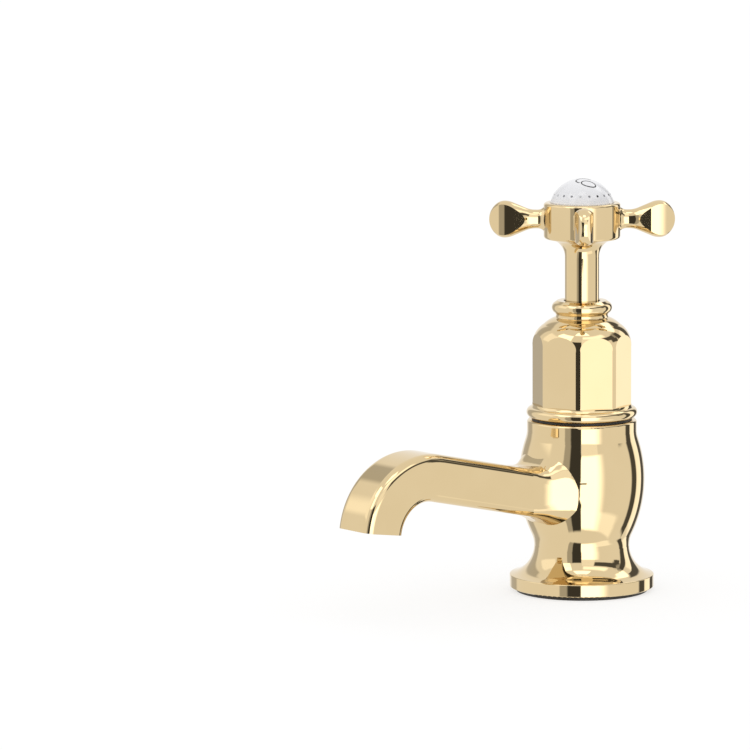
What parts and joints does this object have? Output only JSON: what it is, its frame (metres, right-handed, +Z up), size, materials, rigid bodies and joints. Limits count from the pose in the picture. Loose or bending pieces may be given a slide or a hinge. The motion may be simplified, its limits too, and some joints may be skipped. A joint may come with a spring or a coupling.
{
  "type": "basin pillar tap",
  "caption": "Deck-mounted basin pillar tap with a swan-neck spout, faceted bonnet, cross handle with a porcelain index, quarter-turn valve and threaded tail.",
  "frame": {"origin": "where the tap's axis crosses the upper face of the basin's deck", "axes": "+Z up along the tap's axis, which is also the handle's turning axis; the spout points along -Y, so +X is on the right of a person who looks at the tap from the spout's side"},
  "size_m": [0.0506, 0.1268, 0.1894],
  "materials": {
    "polished_gold_body": "polished",
    "polished_gold_bonnet": "polished",
    "polished_gold_handle": "polished",
    "foot_seal_rubber": "matte",
    "groove_seal_rubber": "matte",
    "black_rubber": "matte",
    "plain_brass": "satin",
    "red_fibre": "matte",
    "ceramic": "satin",
    "white_nylon": "matte",
    "stainless_steel": "satin",
    "white_porcelain": "glossy"
  },
  "bodies": {
    "tap_assembly": {"tap_body": "polished_gold_body", "base_seal": "foot_seal_rubber", "deck_gasket": "black_rubber", "clamp_washer": "plain_brass", "back_nut": "plain_brass", "disc_seal": "black_rubber", "fixed_disc": "ceramic", "headgear_seal": "red_fibre", "headgear_housing": "plain_brass", "thrust_washer": "white_nylon", "bonnet_seal": "groove_seal_rubber", "bonnet": "polished_gold_bonnet", "skirt_bush": "white_nylon"},
    "handle_assembly": {"moving_disc": "ceramic", "spindle": "plain_brass", "spindle_o_rings": "black_rubber", "spindle_clip": "stainless_steel", "handle": "polished_gold_handle", "screw_washer": "stainless_steel", "handle_screw": "stainless_steel", "index_plug": "plain_brass", "index_o_ring": "black_rubber", "index_cap": "white_porcelain"}
  },
  "joints": [
    {"name": "handle_turn", "type": "hinge", "parent": "tap_assembly", "child": "handle_assembly", "pos_m": [0, 0, 0], "axis": [0, 0, 1], "range_deg": [0, 90]}
  ]
}
